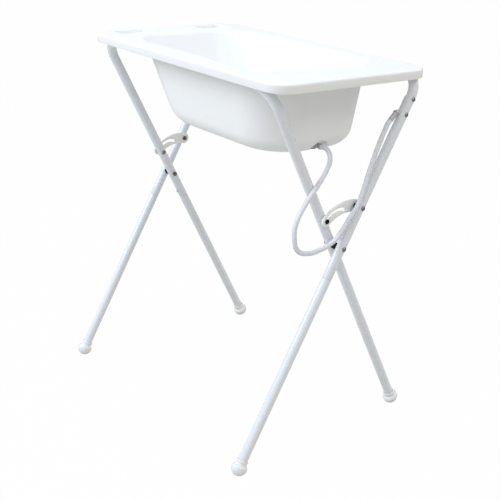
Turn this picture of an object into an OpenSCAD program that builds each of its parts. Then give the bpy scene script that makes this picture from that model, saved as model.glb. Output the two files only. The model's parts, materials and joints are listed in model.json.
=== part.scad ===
// Baby bath on a folding crossed-leg stand.
// Frame: Z is up from the floor, X runs along the bath towards its drain, Y across it.
// The origin is on the floor below the middle of the bath.

/* [Stand] */
// Height of the rim above the floor
stand_h = 880; // [840:5:920]
// Height of the crossing of the legs above the floor
pivot_h = 494; // [470:2:510]
// Clear gap between an outer leg and the inner leg beside it
leg_gap = 10.8; // [10.8:0.2:12]

/* [Tubes] */
// Outside diameter of the frame tubes
tube_d = 22.2; // [20:0.1:23]
// Wall of the frame tubes
tube_wall = 1.2; // [1:0.1:1.5]
// Centre-line radius of the bends into the crossbars
bend_r = 56; // [48:1:62]
// Distance from the crossing down to the end of the upper tubes
seam_drop = 75; // [70:1:110]
// Length of the spigot of a lower leg inside the upper tube
spigot_len = 50; // [40:1:58]

/* [Bath rim] */
// Length of the rim
rim_l = 732; // [712:2:752]
// Width of the rim
rim_w = 440; // [424:2:456]
// Corner radius of the rim, seen from above
rim_corner_r = 48; // [44:1:52]
// Radius of the top edge of the rim
edge_r = 6; // [4:0.5:8]
// Height of the skirt that hides the crossbars
skirt_h = 21; // [16:1:26]
// Distance of the outer ribs from the ends of the rim
rib_from_end = 146; // [130:1:160]
// Distance of the inner ribs from the middle of the rim
rib_from_mid = 75; // [60:1:90]
// Thickness of the moulded wall
tub_wall = 3; // [2.5:0.1:3.4]
// Width of the rim at the soap end
rim_soap_end = 98; // [92:1:110]
// Width of the rim at the drain end
rim_drain_end = 94; // [86:1:100]
// Width of the rim along the sides
rim_side = 53; // [48:1:58]

/* [Basin] */
// Depth of the basin, outside
basin_depth = 186.5; // [160:0.5:200]
// How far the floor starts inside the opening at the soap end
draft_soap = 97; // [60:1:110]
// How far the floor starts inside the opening at the drain end
draft_drain = 5; // [2:0.5:10]
// How far the floor starts inside the opening along the sides
draft_side = 22; // [12:1:30]
// Corner radius of the opening, seen from above
basin_r = 100; // [80:1:110]
// Corner radius of the floor, seen from above
floor_r = 115; // [100:1:120]
// Radius between walls and floor, outside
floor_fillet = 38; // [30:1:42]
// Radius of the lip between rim and basin
lip_r = 8; // [6:0.5:12]

/* [Soap recesses] */
// Length of a soap recess along the bath
soap_l = 64; // [50:1:70]
// Width of a soap recess across the bath
soap_w = 90; // [70:1:96]
// Depth of a soap recess
soap_depth = 10; // [6:0.5:12]
// Distance of a soap recess from the middle of the bath
soap_y = 120; // [112:1:124]

/* [Drain] */
// Height of the drain's centre above the floor of the basin, outside
drain_rise = 12.5; // [12:0.5:18]
// Radius of the pocket around the drain
pocket_r = 27; // [22:1:30]
// Depth of the pocket into the end wall
pocket_depth = 31; // [28:1:34]
// Radius of the hole in the basin
drain_hole_r = 7; // [6:0.1:7.4]
// Radius of the water way
water_r = 4.5; // [3:0.1:5]
// Outside diameter of the hose
hose_d = 11; // [10:0.5:12.5]

/* [Crossing bolts] */
// Diameter of the bolts and pins
bolt_d = 6; // [5:0.1:6.5]
// Diameter of a bolt head
head_d = 11.6; // [10:0.1:13]
// Height of a bolt head
head_h = 3.4; // [2.5:0.1:4]
// Diameter of the spacers between the crossing legs
spacer_d = 16; // [13:0.5:18]

/* [Lock links] */
// Distance from the crossing up an outer leg to the pivot of its link
link_up_outer = 100; // [96:1:106]
// Distance from the crossing up an inner leg to its slot pin
link_up_inner = 74; // [70:1:78]
// Distance of a link from the side of the inner leg
link_off = 3.4; // [3:0.1:3.6]
// Thickness of a link
link_t = 4.5; // [3.5:0.1:4.7]
// Width of a link at its pivot
link_w = 29; // [26:0.5:32]
// Width of a link at the end of its slot
link_end_w = 25; // [22:0.5:28]
// How far the bow of a link stays below that of its slot
bow_below_slot = 1.8; // [0:0.2:3]
// Width of the slot
slot_w = 7.5; // [7:0.1:8.5]
// Angle left between the legs when they are folded
shut_angle = 15.5; // [15.5:0.5:30]

/* [Feet] */
// Diameter of the ball of a foot
foot_d = 36; // [30:1:40]
// Height cut off the ball where it stands
foot_flat = 0.6; // [0.4:0.1:1.2]
// Length of the socket above the middle of the ball
socket_h = 17.5; // [14:0.5:24]

/* [Snap buttons] */
// Distance from the crossing down to the snap buttons
snap_drop = 58; // [52:1:64]
// Diameter of a snap button
snap_d = 6; // [5:0.1:7]
// Length of the leaf springs behind the buttons
snap_spring_l = 42; // [36:1:50]

/* [Hose hook] */
// Distance from the bend down to the upper screw of the hose hook
hook_drop = 4; // [4:1:12]
// Distance between the two screws
hook_pitch = 37; // [30:1:44]
// Diameter of the screws
screw_d = 4; // [3.5:0.1:4.5]
// Diameter of the heads of the screws
screw_head_d = 10.6; // [8:0.1:11.6]
// Height of the heads of the screws
screw_head_h = 3; // [2:0.1:3.4]
// Distance of the parked plug from the axis of the leg
plug_out = 27; // [26:0.5:30]
// Distance of the foot of the parked plug below the lower screw
plug_below = 26.5; // [24:0.5:29]
// Angle of the parked plug to the leg
plug_lean = 17.8; // [15:0.1:20]

/* [Hidden] */
$fn = 64;

// Clearances
skirt_gap = 1.9;        // crossbar to the inside of the skirt
rest_gap = 0.2;         // crossbar to the underside of the rim
notch_gap = 0.3;        // crossbar to the notches of the ribs
fit_gap = 0.05;         // radial, where something turns or slides on a bolt
seat_gap = 0.1;         // between faces that rub
tube_fit = 0.1;         // radial, tube in tube and tube in foot

// Shared heights and radii
tube_r = tube_d / 2;
bore_r = tube_r - tube_wall;
spigot_r = bore_r - tube_fit;
spigot_bore_r = spigot_r - tube_wall;
bolt_r = bolt_d / 2;
under_z = stand_h - tub_wall;
skirt_z = stand_h - skirt_h;
floor_z = stand_h - basin_depth;

// Frames: the crossbars lie just inside the skirt, and the straight legs lean from there
bar_y = rim_w / 2 - tub_wall - skirt_gap - tube_r;
bar_z = under_z - rest_gap - tube_r;
lean = atan(bar_y / (bar_z - pivot_h));
bar_up = (bar_z - pivot_h) / cos(lean);
outer_x = rim_l / 2 - tub_wall - skirt_gap - tube_r;
inner_x = outer_x - tube_d - leg_gap;
ball_z = foot_d / 2 - foot_flat;
leg_drop = (pivot_h - ball_z) / cos(lean);
tube_seat = 4;
shoulder_h = 2;

// Faces between an inner and an outer leg, from the inside out
inner_face_x = inner_x + tube_r;
link_x0 = inner_face_x + link_off;
link_x1 = link_x0 + link_t;
split_x = inner_x + (outer_x - inner_x) / 2;
head_x = outer_x + tube_r + fit_gap;
nut_x = inner_x - tube_r - seat_gap;
link_nut_x = link_x0 - seat_gap;
washer_d = 13;
bush_d = 13;
cap_t = 2.2;

// Basin, at the underside of the rim and at the floor
basin_x0 = rim_soap_end - rim_l / 2;
basin_x1 = rim_l / 2 - rim_drain_end;
basin_hy = rim_w / 2 - rim_side;
corner_steps = 12;
arc_steps = 6;

// Drain
drain_x = basin_x1 - draft_drain - pocket_depth;
drain_z = floor_z + drain_rise;
gasket_t = 1.5;
gasket_r = drain_hole_r + 4;
outlet_flange_t = 3;
outlet_neck_r = 5;
outlet_face_r = hose_d / 2 + 1.5;
outlet_face_l = 4;
outlet_l = 26;
outlet_tail = 8;
drain_nut_t = 3;
drain_nut_r = drain_hole_r + 2;

// Snap buttons
snap_proud = 1.6;
snap_flange_t = 1;
snap_flange_r = snap_d / 2 + 1;
snap_flange_top = sqrt(spigot_bore_r * spigot_bore_r - snap_flange_r * snap_flange_r) - seat_gap;

// Hose hook and plug
hook_z = bar_up - bend_r - hook_drop - hook_pitch;
screw_heights = [hook_z, hook_z + hook_pitch];
plug_in = 2;
plug_r = hose_d / 2 + 0.2;
plug_body_l = 21;
plug_flange_t = 2;
plug_flange_r = plug_r + 1.3;
plug_neck_r = 2.6;
plug_neck_l = 3;
plug_knob_r = 4;
plug_knob_l = 2.5;
fork_t = plug_neck_l - 2 * seat_gap;
fork_r = plug_neck_r + 0.2;
fork_mouth = 2 * plug_neck_r - 0.6;
hook_wall = 2.5;

// Points that the hose passes, from the drain to the foot of its parked plug
hose_route = [
    [262, 0, 706], [272, 0, 706], [283, -1, 704], [293, -3, 698], [300, -6.5, 690], [306, -13, 680],
    [317, -34, 665], [328.5, -59, 650.5], [337.5, -85, 634.5], [341, -101.5, 621],
    [344, -116.5, 606.5], [346, -130.5, 588], [347, -139, 566], [348, -139, 542], [348, -134, 522],
    [348, -123, 509.5], [348, -110, 503.5], [347, -85, 499], [347, -62, 501], [348, -40, 506.5],
    [349, -17.5, 517.5], [351.5, -8, 530], [354.5, 0.5, 543.5], [357.5, 9.5, 562], [359, 17, 573],
    [359, 26, 583], [358.5, 33, 593], [357, 44, 612.5], [355, 54, 634.5], [353, 62, 655],
    [351, 73, 678], [350, 84, 705], [349, 96, 730], [348.5, 105.5, 748.5], [348, 111.3, 759],
    [348, 116.3, 766.1], [348, 120.9, 770.4]];
hose_facets = 12;

// Link geometry in the Y-Z plane, seen from the crossing
fold_angle = 2 * lean - shut_angle;
link_pivot = [link_up_outer * sin(lean), link_up_outer * cos(lean)];
slot_pin_rest = [-link_up_inner * sin(lean), link_up_inner * cos(lean)];
link_share = 0.5;       // part of the fold by which a link turns
slot_steps = 14;
cap_steps = 8;

white = [0.95, 0.95, 0.94];
steel = [0.62, 0.63, 0.65];
black = [0.09, 0.09, 0.1];

function lerp(a, b, t) = a + (b - a) * t;
function turned(v, a) = [v.x * cos(a) - v.y * sin(a), v.x * sin(a) + v.y * cos(a)];
function unit(v) = v / norm(v);

// Closed skin through rings that all have the same number of points
module skin(rings) {
    sides = len(rings[0]);
    last = (len(rings) - 1) * sides;
    polyhedron(
        points = [for (ring = rings) each ring],
        faces = [
            [for (i = [sides - 1:-1:0]) i],
            for (k = [0:len(rings) - 2]) for (i = [0:sides - 1]) let (j = (i + 1) % sides)
                each [
                    [k * sides + i, k * sides + j, (k + 1) * sides + j],
                    [k * sides + i, (k + 1) * sides + j, (k + 1) * sides + i]
                ],
            [for (i = [0:sides - 1]) last + i]
        ]);
}

// Rectangle with round corners as a ring of points
function rounded_ring(x0, x1, hy, r, z) = [
    for (quarter = [0:3])
        let (x = quarter % 3 == 0 ? x1 - r : x0 + r, y = quarter < 2 ? hy - r : r - hy)
            for (i = [0:corner_steps]) let (a = 90 * (quarter + i / corner_steps))
                [x + r * cos(a), y + r * sin(a), z]
];

function rim_ring(z, inset) =
    rounded_ring(inset - rim_l / 2, rim_l / 2 - inset, rim_w / 2 - inset, rim_corner_r - inset, z);

// Outer wall of the basin at a height, drawn in by an inset
function basin_ring(z, inset) =
    let (t = (z - floor_z) / (under_z - floor_z))
    rounded_ring(
        lerp(basin_x0 + draft_soap, basin_x0, t) + inset,
        lerp(basin_x1 - draft_drain, basin_x1, t) - inset,
        lerp(basin_hy - draft_side, basin_hy, t) - inset,
        lerp(floor_r, basin_r, t) - inset, z);

// Rings round the floor fillet, from the floor up, on a face that lies "inset" inside the outer one
function floor_rings(inset) =
    let (r = floor_fillet - inset)
    [for (i = [0:arc_steps]) let (a = 90 - 90 * i / arc_steps)
        basin_ring(floor_z + inset + r * (1 - sin(a)), inset + r * (1 - cos(a)))];

// Rings over the lip, from the wall out to the flat of the rim
function lip_rings(inset) =
    let (r = lip_r - tub_wall + inset, top = under_z + inset)
    [for (i = [0:arc_steps]) let (a = 90 * i / arc_steps)
        basin_ring(top - r * (1 - sin(a)), inset - r * (1 - cos(a)))];

// Rings round the outer edge of the rim, from its flat down to the skirt
function edge_rings(inset) =
    let (r = edge_r - inset, top = stand_h - inset)
    [for (i = [0:arc_steps]) let (a = 90 - 90 * i / arc_steps)
        rim_ring(top - r * (1 - sin(a)), inset + r * (1 - cos(a)))];

function reversed(rings) = [for (i = [len(rings) - 1:-1:0]) rings[i]];

module tub_shell() {
    break_edge = 1;
    skin([
        each floor_rings(tub_wall),
        each lip_rings(tub_wall),
        each edge_rings(0),
        rim_ring(skirt_z + break_edge, 0),
        rim_ring(skirt_z, break_edge),
        rim_ring(skirt_z, tub_wall - break_edge),
        rim_ring(skirt_z + break_edge, tub_wall),
        each reversed(edge_rings(tub_wall)),
        each reversed(lip_rings(0)),
        each reversed(floor_rings(0))
    ]);
}

// Everything inside the middle of the basin's wall, to trim the hump over the drain pocket
module basin_core() {
    mid = tub_wall / 2;
    skin([basin_ring(under_z - lip_r, mid), each reversed(floor_rings(mid))]);
}

module along_x(x, y, z) {
    translate([x, y, z]) rotate([0, 90, 0]) children();
}

// Ribs under the rim, notched for the crossbars to sit in
module saddle_ribs() {
    rib_t = 3;
    rib_z = skirt_z + 1;
    slack = 2;
    rib_end = rim_l / 2 - rib_from_end;
    for (side = [0, 1], x = [-rib_end, -rib_from_mid, rib_from_mid, rib_end])
        translate([x - rib_t / 2, 0, 0]) mirror([0, side, 0])
            difference() {
                translate([0, basin_hy - tub_wall / 2, rib_z])
                    cube([rib_t, rim_side - tub_wall, under_z + tub_wall / 2 - rib_z]);
                rotate([90, 0, 90]) translate([0, 0, -1]) linear_extrude(rib_t + 2) {
                    translate([bar_y, bar_z]) circle(r = tube_r + notch_gap);
                    polygon([
                        [bar_y + tube_r + notch_gap, bar_z], [bar_y + tube_r + notch_gap, rib_z - 1],
                        [bar_y - tube_r - 3 * slack, rib_z - 1], [bar_y - tube_r - slack, bar_z],
                        [bar_y - tube_r / 2 - slack, bar_z + tube_r - 1], [bar_y, bar_z + tube_r - 1]]);
                }
            }
}

module rounded_box(l, w, h, r) {
    linear_extrude(h) {
        square([l - 2 * r, w], center = true);
        square([l, w - 2 * r], center = true);
        for (x = [-1, 1], y = [-1, 1]) translate([x * (l / 2 - r), y * (w / 2 - r)]) circle(r = r);
    }
}

module soap_places() {
    soap_margin = 16;
    for (side = [-1, 1])
        translate([soap_margin + soap_l / 2 - rim_l / 2, side * soap_y, stand_h - soap_depth]) children();
}

module tub() {
    soap_r = 14;
    color(white) difference() {
        union() {
            tub_shell();
            saddle_ribs();
            intersection() {
                basin_core();
                along_x(drain_x - tub_wall, 0, floor_z)
                    cylinder(r = pocket_r + tub_wall, h = pocket_depth + tub_wall);
            }
            soap_places() translate([0, 0, -tub_wall])
                rounded_box(soap_l + 2 * tub_wall, soap_w + 2 * tub_wall, soap_depth + tub_wall / 2,
                    soap_r + tub_wall);
        }
        along_x(drain_x, 0, floor_z) cylinder(r = pocket_r, h = 2 * pocket_depth);
        along_x(drain_x - 2 * tub_wall, 0, drain_z) cylinder(r = drain_hole_r, h = 3 * tub_wall);
        soap_places() rounded_box(soap_l, soap_w, soap_depth + 1, soap_r);
    }
}

module drain_outlet() {
    shank_r = drain_hole_r - tube_fit;
    tail_x = drain_x - outlet_tail;
    flange_x = drain_x + gasket_t;
    face_x = drain_x + outlet_l - outlet_face_l;
    color(white) difference() {
        union() {
            along_x(tail_x, 0, drain_z) cylinder(r = shank_r, h = outlet_tail + gasket_t + 1);
            along_x(flange_x, 0, drain_z) cylinder(r = gasket_r, h = outlet_flange_t);
            along_x(drain_x, 0, drain_z) cylinder(r = outlet_neck_r, h = outlet_l - outlet_face_l);
            along_x(face_x - outlet_face_l, 0, drain_z)
                cylinder(r1 = outlet_neck_r, r2 = outlet_face_r, h = outlet_face_l);
            along_x(face_x, 0, drain_z) cylinder(r = outlet_face_r, h = outlet_face_l);
        }
        along_x(tail_x - 1, 0, drain_z) cylinder(r = water_r, h = outlet_tail + outlet_l + 2);
    }
}

module drain_gasket() {
    color(black) along_x(drain_x, 0, drain_z) difference() {
        cylinder(r = gasket_r, h = gasket_t);
        translate([0, 0, -1]) cylinder(r = drain_hole_r, h = gasket_t + 2);
    }
}

module drain_nut() {
    x = drain_x - tub_wall - drain_nut_t;
    color(white) along_x(x, 0, drain_z) difference() {
        union() {
            cylinder(r = drain_nut_r, h = drain_nut_t, $fn = 8);
            cylinder(r = drain_nut_r - 0.4, h = drain_nut_t);
        }
        translate([0, 0, -1]) cylinder(r = drain_hole_r, h = drain_nut_t + 2);
    }
}

// Unit direction of the hose at each of its points
function hose_heading(i) =
    i == 0 ? unit(hose_route[1] - hose_route[0])
    : i == len(hose_route) - 1 ? unit(hose_route[i] - hose_route[i - 1])
    : unit(unit(hose_route[i + 1] - hose_route[i]) + unit(hose_route[i] - hose_route[i - 1]));

// One side direction for each point, carried along so that the tube doesn't twist
function hose_sides(i, previous) =
    i == len(hose_route) ? []
    : let (t = hose_heading(i), side = unit(previous - (previous * t) * t))
        [side, each hose_sides(i + 1, side)];

module drain_hose() {
    sides = hose_sides(0, [0, 1, 0]);
    color([0.86, 0.88, 0.88]) skin([
        for (i = [0:len(hose_route) - 1])
            let (t = hose_heading(i), u = sides[i], v = cross(u, t))
            [for (k = [0:hose_facets - 1]) let (a = 360 * k / hose_facets)
                hose_route[i] + hose_d / 2 * (u * cos(a) + v * sin(a))]
    ]);
}

module hose_plug() {
    color(white) at_parked_plug() {
        cylinder(r = plug_r, h = plug_body_l);
        translate([0, 0, plug_body_l]) {
            cylinder(r = plug_flange_r, h = plug_flange_t);
            cylinder(r = plug_neck_r, h = plug_flange_t + plug_neck_l + 1);
            translate([0, 0, plug_flange_t + plug_neck_l])
                cylinder(r1 = plug_knob_r, r2 = plug_knob_r - 1, h = plug_knob_l);
        }
    }
}

// The two frames lean to opposite sides about the crossing
module in_outer_frame() {
    translate([0, 0, pivot_h]) rotate([-lean, 0, 0]) children();
}

module in_inner_frame() {
    translate([0, 0, pivot_h]) rotate([lean, 0, 0]) children();
}

// Places its children at the foot of the parked plug, along it
module at_parked_plug() {
    in_outer_frame() translate([outer_x - plug_in, -plug_out, hook_z - plug_below])
        rotate([-plug_lean, 0, 0]) children();
}

module both_sides() {
    children();
    mirror([1, 0, 0]) children();
}

module one_side(side) {
    if (side > 0) children();
    else mirror([1, 0, 0]) children();
}

// Upper tube of a frame, bent to a U: two legs that end below the crossing, two bends, one crossbar
module u_path(leg_x, r) {
    corner_x = leg_x - bend_r;
    corner_z = bar_up - bend_r;
    both_sides() {
        translate([leg_x, 0, -seam_drop]) cylinder(r = r, h = seam_drop + corner_z);
        translate([corner_x, 0, corner_z]) rotate([90, 0, 0])
            rotate_extrude(angle = 90) translate([bend_r, 0]) circle(r = r);
    }
    along_x(-corner_x, 0, bar_up) cylinder(r = r, h = 2 * corner_x);
}

module u_bore(leg_x) {
    u_path(leg_x, bore_r);
    both_sides() translate([leg_x, 0, -seam_drop - 1]) cylinder(r = bore_r, h = 2);
}

module cross_hole(leg_x, z, r) {
    along_x(leg_x - tube_d, 0, z) cylinder(r = r, h = 2 * tube_d);
}

// Hole for a snap button, on the underside of a leg: way is 1 for the outer frame, -1 for the inner
module snap_hole(leg_x, way) {
    translate([leg_x, 0, -snap_drop]) rotate([-90 * way, 0, 0])
        cylinder(r = snap_d / 2 + fit_gap, h = tube_d);
}

module outer_upper_tube() {
    color(white) in_outer_frame() difference() {
        u_path(outer_x, tube_r);
        u_bore(outer_x);
        both_sides() {
            cross_hole(outer_x, 0, bolt_r + fit_gap);
            cross_hole(outer_x, link_up_outer, bolt_r + fit_gap);
            snap_hole(outer_x, 1);
        }
        for (z = screw_heights) cross_hole(outer_x, z, screw_d / 2 + fit_gap);
    }
}

module inner_upper_tube() {
    color(white) in_inner_frame() difference() {
        u_path(inner_x, tube_r);
        u_bore(inner_x);
        both_sides() {
            cross_hole(inner_x, 0, bolt_r + fit_gap);
            cross_hole(inner_x, link_up_inner, bolt_r + fit_gap);
            snap_hole(inner_x, -1);
        }
    }
}

// Straight lower leg with a swaged spigot that slides into the upper tube
module lower_leg(leg_x, way) {
    foot_end = tube_seat - leg_drop;
    shoulder = -seam_drop - shoulder_h;
    spigot_top = spigot_len - seam_drop;
    color(white) difference() {
        translate([leg_x, 0, 0]) rotate_extrude() polygon([
            [bore_r, foot_end], [tube_r, foot_end], [tube_r, shoulder], [spigot_r, shoulder + 1],
            [spigot_r, spigot_top - 1], [spigot_r - 0.6, spigot_top], [spigot_bore_r, spigot_top],
            [spigot_bore_r, shoulder - 1], [bore_r, shoulder - 3]]);
        snap_hole(leg_x, way);
    }
}

module outer_lower_leg(side) {
    in_outer_frame() one_side(side) lower_leg(outer_x, 1);
}

module inner_lower_leg(side) {
    in_inner_frame() one_side(side) lower_leg(inner_x, -1);
}

// Ball foot with a collar, turned about the axis of its leg and flat where it stands
module ball_foot(leg_x) {
    ball_r = foot_d / 2;
    socket_r = tube_r + tube_fit;
    wall_r = socket_r + 1.4;
    collar_r = wall_r + 1.1;
    shoulder_r = 7;
    translate([leg_x, 0, -leg_drop]) rotate_extrude() polygon([
        each [for (a = [-90:7.5:0]) [ball_r * cos(a), ball_r * sin(a)]],
        each [for (a = [0:10:70]) [ball_r - shoulder_r + shoulder_r * cos(a), 1 + shoulder_r * sin(a)]],
        [wall_r, 9], [wall_r, socket_h - 6], [collar_r - 0.6, socket_h - 5.6], [collar_r, socket_h - 5],
        [collar_r, socket_h - 1], [collar_r - 0.8, socket_h], [socket_r, socket_h],
        [socket_r, tube_seat - 0.1], [0, tube_seat - 0.1]]);
}

module cut_at_floor() {
    difference() {
        children();
        translate([-rim_l, -rim_l, -foot_d]) cube([2 * rim_l, 2 * rim_l, foot_d]);
    }
}

module outer_foot(side) {
    color(white) cut_at_floor() in_outer_frame() one_side(side) ball_foot(outer_x);
}

module inner_foot(side) {
    color(white) cut_at_floor() in_inner_frame() one_side(side) ball_foot(inner_x);
}

// Low dome of a bolt head, flat face at zero, growing along +Z
module dome(d, h) {
    r = (d * d / 4 + h * h) / (2 * h);
    intersection() {
        translate([0, 0, h - r]) sphere(r = r);
        cylinder(d = d, h = h);
    }
}

// Bolt along -X from a dome at x_head to x_end
module bolt(x_head, x_end, d) {
    along_x(x_end, 0, 0) cylinder(d = d, h = x_head - x_end + 0.1);
    along_x(x_head, 0, 0) dome(head_d, head_h);
}

// Lock nut that stands from x towards -X
module lock_nut(x) {
    nut_h = 4.6;
    collar_h = 1.4;
    across = bolt_d * 10 / 6;
    along_x(x, 0, 0) mirror([0, 0, 1]) difference() {
        union() {
            cylinder(d = across / cos(30), h = nut_h, $fn = 6);
            cylinder(d = across - 0.8, h = nut_h + collar_h);
        }
        translate([0, 0, -1]) cylinder(r = bolt_r + fit_gap, h = nut_h + collar_h + 2);
    }
}

// Ring between a flat face and the round of a tube: hollowed to sit on the tube
module saddle_ring(x0, x1, d, tube_x) {
    difference() {
        along_x(x0, 0, 0) cylinder(d = d, h = x1 - x0);
        along_x(x0 - 1, 0, 0) cylinder(r = bolt_r + fit_gap, h = x1 - x0 + 2);
        translate([tube_x, 0, -d]) cylinder(r = tube_r + fit_gap, h = 2 * d);
    }
}

// How deep the edge of a ring reaches down the side of a tube
function saddle_depth(d) = tube_r - sqrt(tube_r * tube_r - d * d / 4);

module pivot_bolts() {
    color(steel) in_outer_frame() both_sides() bolt(head_x, nut_x - 7, bolt_d);
}

module pivot_nuts() {
    color(steel) in_outer_frame() both_sides() lock_nut(nut_x);
}

module outer_pivot_spacers() {
    x1 = outer_x - tube_r + saddle_depth(spacer_d);
    color(black) in_outer_frame() both_sides()
        saddle_ring(split_x + seat_gap / 2, x1, spacer_d, outer_x);
}

module inner_pivot_spacers() {
    x0 = inner_face_x - saddle_depth(spacer_d);
    color(black) in_inner_frame() both_sides()
        saddle_ring(x0, split_x - seat_gap / 2, spacer_d, inner_x);
}

module link_pivot_bolts() {
    color(steel) in_outer_frame() translate([0, 0, link_up_outer]) both_sides()
        bolt(head_x, link_nut_x - 7, bolt_d);
}

module link_pivot_bushes() {
    x1 = outer_x - tube_r + saddle_depth(bush_d);
    color(black) in_outer_frame() translate([0, 0, link_up_outer]) both_sides()
        saddle_ring(link_x1 + seat_gap, x1, bush_d, outer_x);
}

module link_pivot_nuts() {
    color(steel) in_outer_frame() translate([0, 0, link_up_outer]) both_sides() lock_nut(link_nut_x);
}

module slot_pins() {
    x_head = inner_x - tube_r - fit_gap;
    color(steel) in_inner_frame() translate([0, 0, link_up_inner]) both_sides() {
        along_x(x_head - 0.1, 0, 0) cylinder(d = bolt_d, h = link_x1 + seat_gap + 1 - x_head);
        translate([x_head, 0, 0]) mirror([1, 0, 0]) rotate([0, 90, 0]) dome(head_d, head_h);
    }
}

module slot_pin_washers() {
    x0 = inner_face_x - saddle_depth(washer_d);
    color(black) in_inner_frame() translate([0, 0, link_up_inner]) both_sides()
        saddle_ring(x0, link_x0 - seat_gap, washer_d, inner_x);
}

module slot_pin_caps() {
    x0 = link_x1 + seat_gap;
    cap_d = slot_w + 3;
    color(black) in_inner_frame() translate([0, 0, link_up_inner]) both_sides() difference() {
        along_x(x0, 0, 0) cylinder(d = cap_d, h = cap_t);
        along_x(x0 - 1, 0, 0) cylinder(r = bolt_r + fit_gap, h = 2.1);
    }
}

// Outline of a band round a row of centre points, with a half width for each and round ends
function band(centres, halves) =
    let (
        n = len(centres),
        headings = [for (i = [0:n - 1])
            let (d = centres[min(i + 1, n - 1)] - centres[max(i - 1, 0)]) atan2(d.y, d.x)],
        arc = function (i, from) [for (k = [0:cap_steps])
            centres[i] + halves[i] * [cos(from - 180 * k / cap_steps), sin(from - 180 * k / cap_steps)]]
    )
    [
        for (i = [1:n - 2]) centres[i] + halves[i] * [cos(headings[i] + 90), sin(headings[i] + 90)],
        each arc(n - 1, headings[n - 1] + 90),
        for (i = [n - 2:-1:1]) centres[i] + halves[i] * [cos(headings[i] - 90), sin(headings[i] - 90)],
        each arc(0, headings[0] - 90)
    ];

// Where the slot pin stands on the link once the legs have closed by an angle
function slot_point(fold) =
    turned(turned(slot_pin_rest, -fold) - link_pivot, -fold * link_share);

// Flat lock link in the Y-Z plane, about its pivot: a bowed band with a hole and a curved slot
module link_shape() {
    chord = slot_pin_rest - link_pivot;
    up = turned(unit(chord), -90);
    slot_path = [for (i = [0:slot_steps]) slot_point(fold_angle * (1 - i / slot_steps))];
    bow = max([for (point = slot_path) point * up]) - bow_below_slot;
    radius = (chord * chord / 4 + bow * bow) / (2 * bow);
    centre = chord / 2 + up * (bow - radius);
    half_angle = asin(norm(chord) / 2 / radius);
    mid_angle = atan2(up.y, up.x);
    steps = 10;
    difference() {
        polygon(band(
            [for (i = [0:steps]) let (a = mid_angle + half_angle * (2 * i / steps - 1))
                centre + radius * [cos(a), sin(a)]],
            [for (i = [0:steps]) lerp(link_w, link_end_w, i / steps) / 2]));
        circle(r = bolt_r + fit_gap);
        polygon(band(slot_path, [for (point = slot_path) slot_w / 2]));
    }
}

module lock_link(side) {
    color(white) one_side(side)
        translate([link_x0, link_pivot.x, pivot_h + link_pivot.y])
            rotate([90, 0, 90]) linear_extrude(link_t) link_shape();
}

// Strip on the inner face of the right outer leg, with an open fork that holds the plug's neck
module hose_hook() {
    strip_r = 4.2;
    strip_end = 9;
    strip_x = outer_x - tube_r - hook_wall;
    fork_wall = 2.2;
    bite = 0.6;
    reach = plug_out - (plug_body_l + plug_flange_t) * sin(plug_lean);
    root_x = plug_in - tube_r - hook_wall + bite;
    root_y = reach - strip_r + bite;
    root_w = 2 * (strip_r - bite);
    half = fork_r + fork_wall - bite;
    color(white) difference() {
        union() {
            in_outer_frame() {
                for (z = [hook_z - strip_end, hook_z + hook_pitch])
                    along_x(strip_x, 0, z) cylinder(r = strip_r, h = hook_wall + 2);
                translate([strip_x, -strip_r, hook_z - strip_end])
                    cube([hook_wall + 2, 2 * strip_r, hook_pitch + strip_end]);
            }
            at_parked_plug() translate([0, 0, plug_body_l + plug_flange_t + seat_gap])
                linear_extrude(fork_t) difference() {
                    union() {
                        circle(r = fork_r + fork_wall);
                        polygon([[-half, -1], [half, -1], [root_x + hook_wall, root_y + root_w],
                            [root_x, root_y + root_w], [root_x, root_y]]);
                    }
                    circle(r = fork_r);
                    translate([-fork_mouth / 2, -2 * fork_r]) square([fork_mouth, 2 * fork_r]);
                }
        }
        in_outer_frame() {
            translate([outer_x, 0, 0]) cylinder(r = tube_r + fit_gap, h = bar_up);
            for (z = screw_heights)
                along_x(strip_x - 1, 0, z) cylinder(r = screw_d / 2 + 0.02, h = tube_d);
        }
    }
}

module hose_hook_screws() {
    x_end = outer_x - tube_r - hook_wall - 0.6;
    color(steel) in_outer_frame() for (z = screw_heights)
        translate([0, 0, z]) {
            along_x(x_end, 0, 0) cylinder(d = screw_d, h = head_x - x_end + 0.1);
            along_x(head_x, 0, 0) dome(screw_head_d, screw_head_h);
        }
}

// Button that stands out of the underside of a leg; its flange keeps it inside the spigot
module snap_button(leg_x, way) {
    color(steel) translate([leg_x, 0, -snap_drop]) rotate([-90 * way, 0, 0]) {
        translate([0, 0, snap_flange_top - snap_flange_t]) cylinder(r = snap_flange_r, h = snap_flange_t);
        translate([0, 0, snap_flange_top - 0.1])
            cylinder(d = snap_d, h = tube_r + snap_proud - 1 - snap_flange_top + 0.1);
        translate([0, 0, tube_r + snap_proud - 1]) dome(snap_d, 1);
    }
}

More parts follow.
